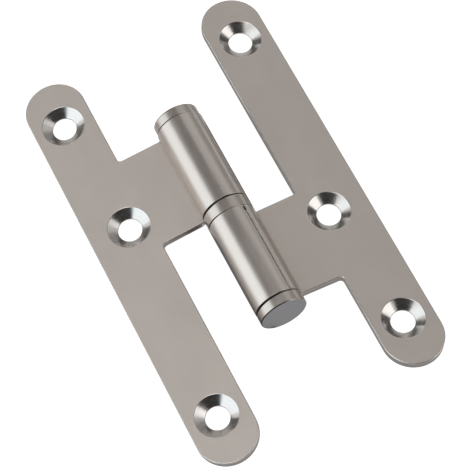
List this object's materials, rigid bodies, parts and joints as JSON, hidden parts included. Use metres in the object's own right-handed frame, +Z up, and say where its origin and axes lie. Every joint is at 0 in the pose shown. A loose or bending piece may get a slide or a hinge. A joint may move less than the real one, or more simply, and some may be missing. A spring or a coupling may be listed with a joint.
{
  "type": "lift-off paumelle hinge",
  "caption": "H-shaped lift-off hinge: two flat leaves with round ends and countersunk screw holes, turning on a pin through two closed eyes with a bearing ring between them.",
  "frame": {"origin": "on the bench under the pin, halfway up the bearing ring", "axes": "+Y along the pin towards the door leaf's end, +Z up out of the screw faces, +X towards the frame leaf"},
  "size_m": [0.0582, 0.1016, 0.0108],
  "materials": {
    "satin_leaf": "satin nickel, brushed",
    "turned_steel": "satin, fine turned",
    "pin_steel": "ground, plain"
  },
  "bodies": {
    "frame": {"frame_leaf": "satin_leaf", "hinge_pin": "pin_steel", "bottom_cap": "turned_steel"},
    "ring": {"bearing_ring": "turned_steel"},
    "door": {"door_leaf": "satin_leaf", "top_cap": "turned_steel"}
  },
  "joints": [
    {"name": "swing", "type": "hinge", "parent": "frame", "child": "ring", "pos_m": [0, 0, 0.0054], "axis": [0, 1, 0], "range_deg": [-148, 190]},
    {"name": "lift_off", "type": "slide", "parent": "ring", "child": "door", "axis": [0, 1, 0], "range_m": [0, 0.02]}
  ]
}
